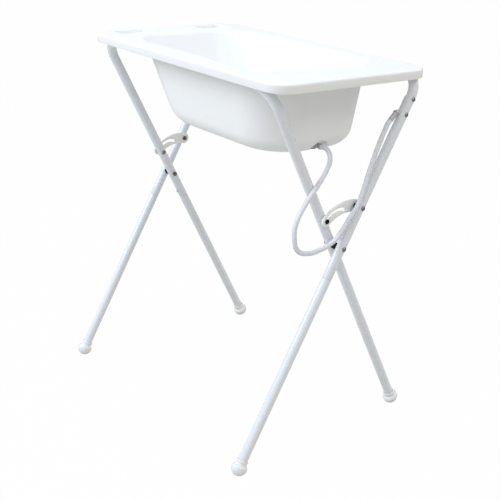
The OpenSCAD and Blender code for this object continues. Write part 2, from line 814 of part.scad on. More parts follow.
// V-shaped leaf spring that pushes the button out from inside the spigot
module snap_spring(leg_x, way) {
    leaf_t = 0.6;
    leaf_w = 7;
    leaf_top = snap_flange_top - snap_flange_t - seat_gap;
    back = -sqrt(spigot_bore_r * spigot_bore_r - leaf_w * leaf_w / 4) + seat_gap;
    fold_r = 3;
    pad_half = 4;
    fold_x = back + 2 * fold_r - leaf_t;
    rise = snap_spring_l - pad_half;
    splay = atan((leaf_top - leaf_t - fold_x) / rise);
    color(steel) translate([leg_x - leaf_w / 2, 0, -snap_drop]) mirror([0, (1 - way) / 2, 0])
        rotate([90, 0, 90]) linear_extrude(leaf_w) {
            translate([back, -snap_spring_l]) square([leaf_t, snap_spring_l + pad_half]);
            translate([back + fold_r, -snap_spring_l]) difference() {
                circle(r = fold_r);
                circle(r = fold_r - leaf_t);
                translate([-2 * fold_r, 0.1]) square(4 * fold_r);
            }
            translate([fold_x, -snap_spring_l]) rotate(-splay) square([leaf_t, rise / cos(splay)]);
            translate([leaf_top - leaf_t, -pad_half]) square([leaf_t, 2 * pad_half]);
        }
}

module outer_snap_button(side) {
    in_outer_frame() one_side(side) snap_button(outer_x, 1);
}

module inner_snap_button(side) {
    in_inner_frame() one_side(side) snap_button(inner_x, -1);
}

module outer_snap_spring(side) {
    in_outer_frame() one_side(side) snap_spring(outer_x, 1);
}

module inner_snap_spring(side) {
    in_inner_frame() one_side(side) snap_spring(inner_x, -1);
}

tub();
drain_outlet();
drain_gasket();
drain_nut();
drain_hose();
hose_plug();
outer_upper_tube();
outer_lower_leg(-1);  // outer_lower_leg_left
outer_lower_leg(1);  // outer_lower_leg_right
outer_foot(-1);  // outer_foot_left
outer_foot(1);  // outer_foot_right
inner_upper_tube();
inner_lower_leg(-1);  // inner_lower_leg_left
inner_lower_leg(1);  // inner_lower_leg_right
inner_foot(-1);  // inner_foot_left
inner_foot(1);  // inner_foot_right
pivot_bolts();
pivot_nuts();
outer_pivot_spacers();
inner_pivot_spacers();
lock_link(-1);  // lock_link_left
lock_link(1);  // lock_link_right
link_pivot_bolts();
link_pivot_bushes();
link_pivot_nuts();
slot_pins();
slot_pin_washers();
slot_pin_caps();
hose_hook();
hose_hook_screws();
outer_snap_button(-1);  // outer_snap_button_left
outer_snap_button(1);  // outer_snap_button_right
inner_snap_button(-1);  // inner_snap_button_left
inner_snap_button(1);  // inner_snap_button_right
outer_snap_spring(-1);  // outer_snap_spring_left
outer_snap_spring(1);  // outer_snap_spring_right
inner_snap_spring(-1);  // inner_snap_spring_left
inner_snap_spring(1);  // inner_snap_spring_right
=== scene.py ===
import json
from math import atan2, cos, hypot, pi, radians, sin

import bmesh
import bpy
from bpy.props import FloatProperty, FloatVectorProperty, PointerProperty
from mathutils import Matrix, Vector

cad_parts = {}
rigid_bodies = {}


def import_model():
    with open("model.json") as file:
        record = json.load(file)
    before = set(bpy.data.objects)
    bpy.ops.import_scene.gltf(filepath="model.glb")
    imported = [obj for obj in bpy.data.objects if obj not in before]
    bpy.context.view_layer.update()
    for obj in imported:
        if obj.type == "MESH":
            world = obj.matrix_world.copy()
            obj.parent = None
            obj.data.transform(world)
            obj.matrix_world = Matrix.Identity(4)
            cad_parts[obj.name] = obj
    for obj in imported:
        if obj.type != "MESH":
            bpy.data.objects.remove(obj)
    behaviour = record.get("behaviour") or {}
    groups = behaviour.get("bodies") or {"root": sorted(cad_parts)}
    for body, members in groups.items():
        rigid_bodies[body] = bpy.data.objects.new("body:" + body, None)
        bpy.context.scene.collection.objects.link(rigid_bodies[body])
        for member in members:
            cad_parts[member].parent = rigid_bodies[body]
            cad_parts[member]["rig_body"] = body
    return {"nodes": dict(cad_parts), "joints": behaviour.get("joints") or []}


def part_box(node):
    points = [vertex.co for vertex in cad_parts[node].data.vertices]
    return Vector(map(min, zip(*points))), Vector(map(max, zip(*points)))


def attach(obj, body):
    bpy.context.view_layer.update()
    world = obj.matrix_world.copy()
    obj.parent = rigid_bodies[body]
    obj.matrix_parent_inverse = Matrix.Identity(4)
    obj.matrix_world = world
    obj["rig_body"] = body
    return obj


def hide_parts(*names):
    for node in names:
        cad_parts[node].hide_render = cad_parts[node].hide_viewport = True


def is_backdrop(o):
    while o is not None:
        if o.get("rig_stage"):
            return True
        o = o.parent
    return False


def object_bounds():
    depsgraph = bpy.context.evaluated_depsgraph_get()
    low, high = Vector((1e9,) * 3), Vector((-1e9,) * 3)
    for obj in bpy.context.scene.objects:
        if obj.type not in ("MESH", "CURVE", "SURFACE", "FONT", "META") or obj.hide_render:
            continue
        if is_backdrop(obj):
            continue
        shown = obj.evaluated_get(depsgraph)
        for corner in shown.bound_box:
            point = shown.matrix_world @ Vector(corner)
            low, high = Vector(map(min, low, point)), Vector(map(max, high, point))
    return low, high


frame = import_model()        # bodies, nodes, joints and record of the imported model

bl_info = {
    "name": "Folding baby bath stand",
    "version": (1, 0, 0),
    "blender": (4, 5, 0),
    "location": "3D View > Sidebar > Bath stand",
    "description": "Dresses the packed baby bath and its folding stand with finished surfaces",
    "category": "Object",
}

CAD_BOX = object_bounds()
JOINTS = {joint["name"]: joint for joint in frame["joints"]}
TUB_LOW, TUB_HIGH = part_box("tub")
BAR_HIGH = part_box("outer_upper_tube")[1]
GASKET_LOW, GASKET_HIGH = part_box("drain_gasket")
CROSSING = Vector(JOINTS["frame_fold"]["pos_m"])
PRESS_AXIS = Vector(JOINTS["outer_button_left_press"]["axis"])
LEAN = atan2(PRESS_AXIS.z, -PRESS_AXIS.y)
SIDES = (("left", -1), ("right", 1))
FRAMES = (("outer", 1), ("inner", -1))
SHARP = radians(34)      # edges that turn by more than this stay sharp
ALONG_X = Matrix.Rotation(pi / 2, 4, "Y")
SEAM_DROP = 0.075        # from the crossing down to the end of the upper tubes

# Holes in the legs: how far along them from the crossing, or down from a bend, and their radii
SNAP_DROP, SNAP_HOLE = 0.058, 0.00305
LINK_UP, BOLT_HOLE = {"outer": 0.100, "inner": 0.074}, 0.00305
SCREW_DROPS, SCREW_HOLE = (0.004, 0.041), 0.00205

# The hose's route as in the part's source, from the drain to the foot of its parked plug
HOSE_ROUTE = [(x / 1000, y / 1000, z / 1000) for x, y, z in (
    (262, 0, 706), (272, 0, 706), (283, -1, 704), (293, -3, 698), (300, -6.5, 690), (306, -13, 680),
    (317, -34, 665), (328.5, -59, 650.5), (337.5, -85, 634.5), (341, -101.5, 621),
    (344, -116.5, 606.5), (346, -130.5, 588), (347, -139, 566), (348, -139, 542), (348, -134, 522),
    (348, -123, 509.5), (348, -110, 503.5), (347, -85, 499), (347, -62, 501), (348, -40, 506.5),
    (349, -17.5, 517.5), (351.5, -8, 530), (354.5, 0.5, 543.5), (357.5, 9.5, 562), (359, 17, 573),
    (359, 26, 583), (358.5, 33, 593), (357, 44, 612.5), (355, 54, 634.5), (353, 62, 655),
    (351, 73, 678), (350, 84, 705), (349, 96, 730), (348.5, 105.5, 748.5), (348, 111.3, 759),
    (348, 116.3, 766.1), (348, 120.9, 770.4))]


def in_frame(way):
    """Place of a folding frame: way is 1 for the outer one and -1 for the inner one"""
    return Matrix.Translation(CROSSING) @ Matrix.Rotation(-LEAN * way, 4, "X")


# ---------------------------------------------------------------- settings

class BathSettings(bpy.types.PropertyGroup):
    """Sizes and colour of the bath"""
    corner: FloatProperty(name="Rim corner radius", description="Corner radius of the rim from above",
                          default=0.048, min=0.02, max=0.08, unit="LENGTH")
    edge: FloatProperty(name="Rim edge radius", description="Radius of the rim's top edge",
                        default=0.006, min=0.002, max=0.01, unit="LENGTH")
    skirt: FloatProperty(name="Skirt height", description="Height of the turned-down edge of the rim",
                         default=0.021, min=0.015, max=0.03, unit="LENGTH")
    wall: FloatProperty(name="Wall", description="Thickness of the moulded wall",
                        default=0.003, min=0.002, max=0.004, unit="LENGTH")
    lip: FloatProperty(name="Lip radius", description="Radius between the rim and the basin",
                       default=0.008, min=0.004, max=0.012, unit="LENGTH")
    floor_fillet: FloatProperty(name="Floor fillet", description="Radius between the basin's walls and its floor",
                                default=0.038, min=0.02, max=0.05, unit="LENGTH")
    colour: FloatVectorProperty(name="Bath colour", description="Colour of the moulded bath",
                                default=(0.885, 0.89, 0.885), min=0, max=1, subtype="COLOR")


class FrameSettings(bpy.types.PropertyGroup):
    """Sizes and colours of the folding frames"""
    tube: FloatProperty(name="Tube diameter", description="Outside diameter of the frame tubes",
                        default=0.0222, min=0.018, max=0.026, unit="LENGTH")
    tube_wall: FloatProperty(name="Tube wall", description="Wall of the frame tubes",
                             default=0.0012, min=0.0008, max=0.002, unit="LENGTH")
    bend: FloatProperty(name="Bend radius", description="Centre-line radius of the bends",
                        default=0.056, min=0.04, max=0.07, unit="LENGTH")
    paint: FloatVectorProperty(name="Tube paint", description="Colour of the powder coat",
                               default=(0.775, 0.80, 0.835), min=0, max=1, subtype="COLOR")
    plastic: FloatVectorProperty(name="White plastic", description="Colour of feet and drain parts",
                                 default=(0.82, 0.82, 0.815), min=0, max=1, subtype="COLOR")
    link: FloatVectorProperty(name="Link colour", description="Colour of the slotted lock links",
                              default=(0.92, 0.915, 0.90), min=0, max=1, subtype="COLOR")
    black: FloatVectorProperty(name="Black plastic", description="Colour of spacers, washers and caps",
                               default=(0.008, 0.008, 0.009), min=0, max=1, subtype="COLOR")
    bolts: FloatVectorProperty(name="Bolt colour", description="Colour of the bolts, nuts and screws",
                               default=(0.30, 0.30, 0.305), min=0, max=1, subtype="COLOR")


class HoseSettings(bpy.types.PropertyGroup):
    """Sizes and colour of the drain hose"""
    diameter: FloatProperty(name="Hose diameter", description="Outside diameter of the hose",
                            default=0.011, min=0.008, max=0.013, unit="LENGTH")
    wall: FloatProperty(name="Hose wall", description="Wall of the hose",
                        default=0.0017, min=0.001, max=0.003, unit="LENGTH")
    colour: FloatVectorProperty(name="Hose colour", description="Tint of the translucent hose",
                                default=(0.91, 0.92, 0.98), min=0, max=1, subtype="COLOR")
    smoke: FloatVectorProperty(name="Plug colour", description="Tint of the outlet and the plug",
                               default=(0.62, 0.62, 0.62), min=0, max=1, subtype="COLOR")


class StageSettings(bpy.types.PropertyGroup):
    """Floor and lights"""
    key: FloatProperty(name="Key light", description="Power of the large soft light",
                       default=181.0, min=0, max=600, unit="POWER")
    world: FloatProperty(name="Room light", description="Strength of the light from all round",
                         default=0.625, min=0, max=2)


class BathStandSettings(bpy.types.PropertyGroup):
    """All settings of the bath stand"""
    bath: PointerProperty(type=BathSettings)
    frames: PointerProperty(type=FrameSettings)
    hose: PointerProperty(type=HoseSettings)
    stage: PointerProperty(type=StageSettings)


# ---------------------------------------------------------------- making pieces

def loose(bm, name):
    """Object of a finished bmesh, with its place in its mesh"""
    mesh = bpy.data.meshes.new(name)
    bm.to_mesh(mesh)
    bm.free()
    obj = bpy.data.objects.new(name, mesh)
    bpy.context.scene.collection.objects.link(obj)
    return obj


def piece(bm, name, body, nodes, material, sharp=SHARP):
    """Make a finished bmesh into a piece that rides on a body and stands for its CAD nodes"""
    return dress(loose(bm, name), body, nodes, material, sharp)


def dress(obj, body, nodes, material, sharp=SHARP):
    """Give an object its shading, finish, body and the CAD nodes that it stands for"""
    mesh = obj.data
    mesh.shade_smooth()
    mesh.set_sharp_from_angle(angle=sharp)
    mesh.materials.clear()
    mesh.materials.append(material)
    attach(obj, body)
    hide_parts(*nodes)
    return obj


def boolean(target, cutter, operation):
    """Cut one object with another, or join them, and bake the result into its mesh"""
    modifier = target.modifiers.new("boolean", "BOOLEAN")
    modifier.object = cutter
    modifier.operation = operation
    modifier.solver = "EXACT"
    bpy.context.view_layer.update()
    graph = bpy.context.evaluated_depsgraph_get()
    used = target.data, cutter.data
    target.data = bpy.data.meshes.new_from_object(target.evaluated_get(graph))
    target.modifiers.clear()
    bpy.data.objects.remove(cutter)
    for mesh in used:
        bpy.data.meshes.remove(mesh)


def rod(bm, radius, length, place, segments=48):
    """Closed cylinder about the Z axis of its place"""
    bmesh.ops.create_cone(bm, cap_ends=True, segments=segments, radius1=radius, radius2=radius,
                          depth=length, matrix=place)


def block(bm, size, centre):
    """Box of a size about its centre"""
    bmesh.ops.create_cube(bm, size=1, matrix=Matrix.Translation(centre) @ Matrix.Diagonal((*size, 1)))


def snap_hole(leg_x, way, length):
    """Hole of a snap button, through the lower wall of a leg only"""
    return (leg_x, way * length / 2, -SNAP_DROP), Matrix.Rotation(pi / 2, 4, "X"), SNAP_HOLE, length


def drilled(obj, way, holes):
    """Cut round holes in a tube, each given as (place on the frame, turn of the Z axis, radius, length)"""
    bm = bmesh.new()
    for place, turn, radius, length in holes:
        rod(bm, radius, length, in_frame(way) @ Matrix.Translation(place) @ turn, 40)
    boolean(obj, loose(bm, "drill"), "DIFFERENCE")
    obj.data.name = obj.name
    obj.data.set_sharp_from_angle(angle=SHARP)


def new_edges(grown):
    """Edges among the geometry that an operator returns"""
    return [g for g in grown if isinstance(g, bmesh.types.BMEdge)]


def new_verts(grown):
    """Vertices among the geometry that an operator returns"""
    return [g for g in grown if isinstance(g, bmesh.types.BMVert)]


def ring(bm, radius, segments, place):
    """Edges of an open circle about the Z axis of its place, in their order round it"""
    start = bmesh.ops.create_circle(bm, cap_ends=False, radius=radius, segments=segments, matrix=place)
    return list(dict.fromkeys(e for v in start["verts"] for e in v.link_edges))


def joined(bm, low, high):
    """Faces between two loops of the same division, edge by edge, which can't come out twisted"""
    for a, b in zip(low, high):
        bm.faces.new((*a.verts, *reversed(b.verts)))


def softened(node, name, material, width, segments, flat=radians(1.5), round_from=radians(30)):
    """Copy of a CAD node with its doubles merged and its sharp edges rounded, in its place"""
    cad = frame["nodes"][node]
    bm = bmesh.new()
    bm.from_mesh(cad.data)
    bmesh.ops.remove_doubles(bm, verts=bm.verts, dist=1e-6)
    bmesh.ops.dissolve_limit(bm, angle_limit=flat, verts=bm.verts, edges=bm.edges)
    edges = [e for e in bm.edges if len(e.link_faces) == 2 and e.calc_face_angle(0) > round_from]
    bmesh.ops.bevel(bm, geom=edges, affect="EDGES", offset=width, offset_type="OFFSET",
                    segments=segments, profile=0.5, material=-1, clamp_overlap=True)
    return piece(bm, name, cad["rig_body"], [node], material)


def rounded_loop(bm, x0, x1, half_y, radius, z, steps, cuts=(0, 0)):
    """Edges of a level loop with round corners; cuts divide its straight sides along X and along Y"""
    others = set(bm.edges)
    corners = [bm.verts.new(at) for at in
               ((x1, half_y, z), (x0, half_y, z), (x0, -half_y, z), (x1, -half_y, z))]
    bm.faces.new(corners)
    bmesh.ops.bevel(bm, geom=corners, affect="VERTICES", offset=radius, offset_type="OFFSET",
                    segments=steps, profile=0.5, material=-1, clamp_overlap=False)
    bm.faces.ensure_lookup_table()
    bmesh.ops.delete(bm, geom=[bm.faces[0]], context="FACES_ONLY")
    for across, number in zip((1, 0), cuts):
        if number:
            straight = [e for e in bm.edges if e not in others
                        and abs(e.verts[0].co[across] - e.verts[1].co[across]) < 1e-7]
            bmesh.ops.bisect_edges(bm, edges=straight, cuts=number)
    return [e for e in bm.edges if e not in others]


def lofted(bm, loops):
    """Close a skin through loops of the same division, with a flat face at either end"""
    for low, high in zip(loops, loops[1:]):
        joined(bm, low, high)
    for loop in (loops[0], loops[-1]):
        bmesh.ops.edgeloop_fill(bm, edges=loop)
    bmesh.ops.recalc_face_normals(bm, faces=bm.faces)


def turned(bm, profile, steps, closed=False):
    """Solid of revolution about Z of a profile of (radius, height): closed, or from axis to axis"""
    verts = [bm.verts.new((r, 0, z)) for r, z in profile]
    ends = verts[1:] + verts[:1] if closed else verts[1:]
    edges = [bm.edges.new(pair) for pair in zip(verts, ends)]
    bmesh.ops.spin(bm, geom=verts + edges, cent=(0, 0, 0), axis=(0, 0, 1), angle=2 * pi,
                   steps=steps, use_merge=True)
    bmesh.ops.remove_doubles(bm, verts=bm.verts, dist=1e-6)
    bmesh.ops.recalc_face_normals(bm, faces=bm.faces)


def rounded(corners, radius, steps=4):
    """Profile with its inner corners rounded by a radius"""
    profile = [corners[0]]
    for before, at, after in zip(corners, corners[1:], corners[2:]):
        at = Vector(at)
        a, b = Vector(before) - at, Vector(after) - at
        reach = min(radius, 0.45 * a.length, 0.45 * b.length)
        start, end = at + a.normalized() * reach, at + b.normalized() * reach
        for i in range(steps + 1):
            t = i / steps
            profile.append(tuple(start * (1 - t) ** 2 + at * 2 * t * (1 - t) + end * t ** 2))
    return [*profile, corners[-1]]


# ---------------------------------------------------------------- materials

def surface(name, colour, roughness, tone=0.02, tone_scale=9.0, grain=0.02, grain_scale=900.0,
            grain_depth=0.0002, roughness_spread=0.06, metallic=0.0, specular=0.5, coat=0.0):
    """Painted or moulded surface with slight changes of tone and gloss and a fine grain"""
    material = bpy.data.materials.new(name)
    material.use_nodes = True
    nodes, links = material.node_tree.nodes, material.node_tree.links
    shader = nodes["Principled BSDF"]
    place = nodes.new("ShaderNodeTexCoord")
    patches = nodes.new("ShaderNodeTexNoise")
    patches.inputs["Scale"].default_value = tone_scale
    patches.inputs["Detail"].default_value = 4
    links.new(place.outputs["Object"], patches.inputs["Vector"])
    tint = nodes.new("ShaderNodeMix")
    tint.data_type = "RGBA"
    tint.inputs["A"].default_value = (*[max(0, c * (1 - tone)) for c in colour], 1)
    tint.inputs["B"].default_value = (*[min(1, c * (1 + tone)) for c in colour], 1)
    links.new(patches.outputs["Fac"], tint.inputs["Factor"])
    links.new(tint.outputs["Result"], shader.inputs["Base Color"])
    gloss = nodes.new("ShaderNodeMapRange")
    gloss.inputs["From Min"].default_value = 0.3
    gloss.inputs["From Max"].default_value = 0.7
    gloss.inputs["To Min"].default_value = max(0.02, roughness - roughness_spread)
    gloss.inputs["To Max"].default_value = roughness + roughness_spread
    links.new(patches.outputs["Fac"], gloss.inputs["Value"])
    links.new(gloss.outputs["Result"], shader.inputs["Roughness"])
    fine = nodes.new("ShaderNodeTexNoise")
    fine.inputs["Scale"].default_value = grain_scale
    fine.inputs["Detail"].default_value = 2
    links.new(place.outputs["Object"], fine.inputs["Vector"])
    bump = nodes.new("ShaderNodeBump")
    bump.inputs["Strength"].default_value = grain
    bump.inputs["Distance"].default_value = grain_depth
    links.new(fine.outputs["Fac"], bump.inputs["Height"])
    links.new(bump.outputs["Normal"], shader.inputs["Normal"])
    shader.inputs["Metallic"].default_value = metallic
    shader.inputs["Specular IOR Level"].default_value = specular
    shader.inputs["Coat Weight"].default_value = coat
    shader.inputs["Coat Roughness"].default_value = 0.08
    return material


def clear(material, edge, blend, alpha):
    """Make a surface see-through in part, with painted shade that makes it darker towards its outline"""
    nodes, links = material.node_tree.nodes, material.node_tree.links
    shader = nodes["Principled BSDF"]
    tint = shader.inputs["Base Color"].links[0].from_socket
    # Painted shade: where the surface turns away from view, its colour blends to the given edge colour
    outline = nodes.new("ShaderNodeLayerWeight")
    outline.inputs["Blend"].default_value = blend
    rim = nodes.new("ShaderNodeMix")
    rim.data_type = "RGBA"
    rim.inputs["B"].default_value = (*edge, 1)
    links.new(outline.outputs["Facing"], rim.inputs["Factor"])
    links.new(tint, rim.inputs["A"])
    links.new(rim.outputs["Result"], shader.inputs["Base Color"])
    shader.inputs["Alpha"].default_value = alpha
    return material


def finish(name):
    """Material by its finish's name, made when it is first asked for; no slot has the same name"""
    if name in bpy.data.materials:
        return bpy.data.materials[name]
    settings = bpy.context.scene.bath_stand
    if name == "moulded_white":
        return surface(name, settings.bath.colour, 0.34, tone=0.01, tone_scale=5, grain=0.02,
                       grain_scale=300, coat=0.04)
    if name == "powder_coat":
        return surface(name, settings.frames.paint, 0.30, tone=0.012, tone_scale=14, grain=0.015,
                       grain_scale=500, coat=0.25)
    if name == "link_coat":
        return surface(name, settings.frames.link, 0.36, tone=0.015, tone_scale=20, grain=0.015,
                       grain_scale=500)
    if name == "foot_white":
        return surface(name, settings.frames.plastic, 0.38, tone=0.015, tone_scale=30, grain=0.01,
                       grain_scale=600)
    if name == "matt_black":
        return surface(name, settings.frames.black, 0.45, tone=0.25, tone_scale=60, grain=0.06,
                       grain_scale=700, specular=0.08)
    if name == "dark_steel":
        material = surface(name, settings.frames.bolts, 0.20, tone=0.2, tone_scale=220, grain=0.03,
                           grain_scale=1600, grain_depth=0.0001, roughness_spread=0.05, metallic=1.0)
        # Painted reflection: bolt heads, nuts and pins darken to near black towards their outline, like a dark
        # room mirrored in their domes
        return clear(material, (0.012, 0.012, 0.014), 0.62, 1.0)
    if name == "zinc_steel":
        return surface(name, (0.36, 0.36, 0.37), 0.30, tone=0.15, tone_scale=220, grain=0.05,
                       grain_scale=1600, grain_depth=0.0001, roughness_spread=0.1, metallic=1.0)
    if name == "sprung_steel":
        return surface(name, (0.42, 0.42, 0.43), 0.34, tone=0.1, tone_scale=180, grain=0.04,
                       grain_scale=1600, grain_depth=0.0001, metallic=1.0)
    if name == "soft_rubber":
        return surface(name, (0.03, 0.03, 0.03), 0.7, tone=0.2, tone_scale=90, grain=0.1,
                       grain_scale=900, specular=0.3)
    if name == "smoke_plastic":
        material = surface(name, settings.hose.smoke, 0.28, tone=0.04, tone_scale=60, grain=0.03,
                           grain_scale=500)
        # Painted shade: the outlet and the plug turn dark grey towards their outline
        return clear(material, (0.16, 0.16, 0.165), 0.4, 0.9)
    if name == "hose_vinyl":
        material = surface(name, settings.hose.colour, 0.34, tone=0.01, tone_scale=25, grain=0.005,
                           grain_scale=300)
        # Painted shade: the hose turns darker lavender towards its outline, leaving its core lighter
        return clear(material, (0.60, 0.61, 0.69), 0.22, 0.8)
    raise RuntimeError(f"there is no finish named {name}")


# ---------------------------------------------------------------- operators

class BATHSTAND_OT_camera(bpy.types.Operator):
    """Set the camera where the photograph was taken from"""
    bl_idname = "bath_stand.camera"
    bl_label = "Camera"

    # Found by fitting the rim's corners, the crossings and the feet to the photograph
    place = (1.72996, -1.39988, 1.24176)
    angles = (50.56, 21.57, 2.80)
    lens, shift = 67.70, (0.003, 0.0084)

    def execute(self, context):
        azimuth, elevation, roll = [radians(angle) for angle in self.angles]
        forward = Vector((-sin(azimuth) * cos(elevation), cos(azimuth) * cos(elevation), -sin(elevation)))
        side = forward.cross(Vector((0, 0, 1))).normalized()
        upward = side.cross(forward)
        right = side * cos(roll) + upward * sin(roll)
        up = upward * cos(roll) - side * sin(roll)
        data = bpy.data.cameras.new("camera")
        data.sensor_width = 36
        data.lens = self.lens
        data.shift_x, data.shift_y = self.shift
        camera = bpy.data.objects.new("camera", data)
        context.scene.collection.objects.link(camera)
        turn = Matrix((right, up, -forward)).transposed().to_4x4()
        camera.matrix_world = Matrix.Translation(self.place) @ turn
        context.scene.camera = camera
        return {"FINISHED"}


def smooth_route(points, step, divisions=24):
    """Even points on a smooth curve through the route's points, and the curve's length"""
    points = [Vector(p) for p in points]
    ends = [2 * points[0] - points[1], *points, 2 * points[-1] - points[-2]]
    dense = []
    for a, b, c, d in zip(ends, ends[1:], ends[2:], ends[3:]):
        for i in range(divisions):
            t = i / divisions
            dense.append(0.5 * (2 * b + (c - a) * t + (2 * a - 5 * b + 4 * c - d) * t ** 2
                                + (3 * b - a - 3 * c + d) * t ** 3))
    dense.append(points[-1])
    total = sum((q - p).length for p, q in zip(dense, dense[1:]))
    count = round(total / step)
    even, run, k = [dense[0]], 0.0, 0
    for i in range(1, count):
        goal = total * i / count
        while run + (dense[k + 1] - dense[k]).length < goal:
            run += (dense[k + 1] - dense[k]).length
            k += 1
        even.append(dense[k].lerp(dense[k + 1], (goal - run) / (dense[k + 1] - dense[k]).length))
    even.append(dense[-1])
    return even, total


class BATHSTAND_OT_hose(bpy.types.Operator):
    """Draw the drain hose along its route, with its bore"""
    bl_idname = "bath_stand.hose"
    bl_label = "Drain hose"

    step, sides = 0.004, 28

    def execute(self, context):
        hose = context.scene.bath_stand.hose
        route, length = smooth_route(HOSE_ROUTE, self.step)
        bm = bmesh.new()
        headings = [(b - a).normalized() for a, b in zip(route, route[1:])]
        between = [(a + b).normalized() for a, b in zip(headings, headings[1:])]
        tangents = [headings[0], *between, headings[-1]]
        place = Matrix.Translation(route[0]) @ tangents[0].to_track_quat("Z", "Y").to_matrix().to_4x4()
        edges = ring(bm, hose.diameter / 2, self.sides, place)
        for i in range(1, len(route)):
            grown = bmesh.ops.extrude_edge_only(bm, edges=edges)["geom"]
            edges = new_edges(grown)
            turn = tangents[i - 1].rotation_difference(tangents[i]).to_matrix().to_4x4()
            step = Matrix.Translation(route[i]) @ turn @ Matrix.Translation(-route[i - 1])
            bmesh.ops.transform(bm, matrix=step, verts=new_verts(grown))
        bmesh.ops.recalc_face_normals(bm, faces=bm.faces)
        obj = piece(bm, "drain_hose_tube", "bath", ["drain_hose"], finish("hose_vinyl"))
        wall = obj.modifiers.new("wall", "SOLIDIFY")
        wall.thickness = hose.wall
        wall.offset = -1
        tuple(HOSE_ROUTE[0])
        [tuple(p) for p in route]
        return {"FINISHED"}


class BATHSTAND_OT_bath(bpy.types.Operator):
    """Mould the bath: rim with its skirt, basin, soap recesses, ribs and drain pocket"""
    bl_idname = "bath_stand.bath"
    bl_label = "Bath"

    corner_steps, cuts = 20, (22, 10)      # divisions of a corner, and of the straight sides
    rim_ends, rim_side = (0.098, 0.094), 0.053     # its width at the soap end, the drain end and the sides
    draft = (0.097, 0.005, 0.022)          # of the walls at the soap end, the drain end and the sides
    radii = (0.100, 0.115)                 # of the basin's corners, above and below
    nick, round_off = 0.0003, 0.001        # the rounding of the skirt's lower edge
    rib_places, rib_wall, notch_gap = (-0.220, -0.075, 0.075, 0.220), 0.003, 0.0003
    mouth_back, mouth_down = 0.002, 0.011  # the open side of a rib's notch, from the crossbar's middle
    mouth = (0.010, 0.0268, 0.022)
    hump_radius, hump_length = 0.030, 0.034
    hump_in = 0.014                        # from the gasket's face to the middle of the hump
    pocket_radius, pocket_length, pocket_round = 0.027, 0.062, 0.004
    drain_radius, drain_length = 0.007, 0.010
    soap_half, soap_corner, soap_depth = (0.032, 0.045), 0.014, 0.010
    soap_in, soap_across = 0.016, 0.120    # from the rim's end to the recess, and from the middle
    soap_fillet, soap_flare = 0.0045, 0.0022
    soap_mouth, soap_above = radians(81), 0.004    # where the flare ends, and how far the cutter goes on

    def basin(self, z, inset):
        """Sides of the basin's wall at a height, drawn in by an inset"""
        share = (z - TUB_LOW.z) / (self.under - TUB_LOW.z)
        x0, x1 = TUB_LOW.x + self.rim_ends[0], TUB_HIGH.x - self.rim_ends[1]
        half_y = TUB_HIGH.y - self.rim_side
        return (x0 + self.draft[0] * (1 - share) + inset, x1 - self.draft[1] * (1 - share) - inset,
                half_y - self.draft[2] * (1 - share) - inset,
                self.radii[1] + (self.radii[0] - self.radii[1]) * share - inset, z)

    def rim(self, z, inset):
        """Sides of the rim's outline at a height, drawn in by an inset"""
        return (TUB_LOW.x + inset, TUB_HIGH.x - inset, TUB_HIGH.y - inset, self.bath.corner - inset, z)

    def floor(self, inset, steps=14):
        """Rows from the floor up its fillet"""
        r = self.bath.floor_fillet - inset
        yield self.basin(TUB_LOW.z + inset, inset + r + 0.004)
        for i in range(steps + 1):
            a = pi / 2 * (1 - i / steps)
            yield self.basin(TUB_LOW.z + inset + r * (1 - sin(a)), inset + r * (1 - cos(a)))

    def lip(self, inset, steps=9):
        """Rows of the rounding between the basin and the rim"""
        r = self.bath.lip - self.bath.wall + inset
        for i in range(steps + 1):
            a = pi / 2 * i / steps
            yield self.basin(self.under + inset - r * (1 - sin(a)), inset - r * (1 - cos(a)))
        yield self.basin(self.under + inset, inset - r - 0.003)

    def side(self, inset, steps=9):
        """Rows of the wall between the floor's fillet and the lip"""
        low = TUB_LOW.z + self.bath.floor_fillet
        high = self.under - self.bath.lip + self.bath.wall
        for i in range(1, steps):
            yield self.basin(low + (high - low) * i / steps, inset)

    def edge(self, inset, steps=8):
        """Rows of the rounding between the rim and its skirt"""
        r = self.bath.edge - inset
        yield self.rim(TUB_HIGH.z - inset, self.bath.edge + 0.003)
        for i in range(steps + 1):
            a = pi / 2 * (1 - i / steps)
            yield self.rim(TUB_HIGH.z - inset - r * (1 - sin(a)), inset + r * (1 - cos(a)))

    def skin(self, rows):
        """Closed skin through rows of the bath"""
        bm = bmesh.new()
        lofted(bm, [rounded_loop(bm, *row, self.corner_steps, self.cuts) for row in rows])
        return bm

    def execute(self, context):
        bath = self.bath = context.scene.bath_stand.bath
        self.frames = context.scene.bath_stand.frames
        wall = bath.wall
        self.under = TUB_HIGH.z - wall
        skirt_z, nick, round_off = TUB_HIGH.z - bath.skirt, self.nick, self.round_off
        shell = loose(self.skin([
            *self.floor(wall), *self.side(wall), *self.lip(wall), *self.edge(0),
            self.rim(skirt_z + round_off, 0), self.rim(skirt_z + nick, nick), self.rim(skirt_z, round_off),
            self.rim(skirt_z, wall - round_off), self.rim(skirt_z + nick, wall - nick),
            self.rim(skirt_z + round_off, wall),
            *reversed(list(self.edge(wall))), *reversed(list(self.lip(0))),
            *reversed(list(self.side(0))), *reversed(list(self.floor(0)))]), "shell")
        for rib in self.ribs(skirt_z):
            boolean(shell, rib, "UNION")
        boolean(shell, self.hump(), "UNION")
        for grow, operation in ((wall, "UNION"), (0, "DIFFERENCE")):
            for side in (-1, 1):
                boolean(shell, self.recess(side, grow), operation)
        boolean(shell, self.pocket(), "DIFFERENCE")
        boolean(shell, self.hole(), "DIFFERENCE")
        shell.name = "bath_shell"
        dress(shell, "bath", ["tub"], finish("moulded_white"), radians(30))
        return {"FINISHED"}

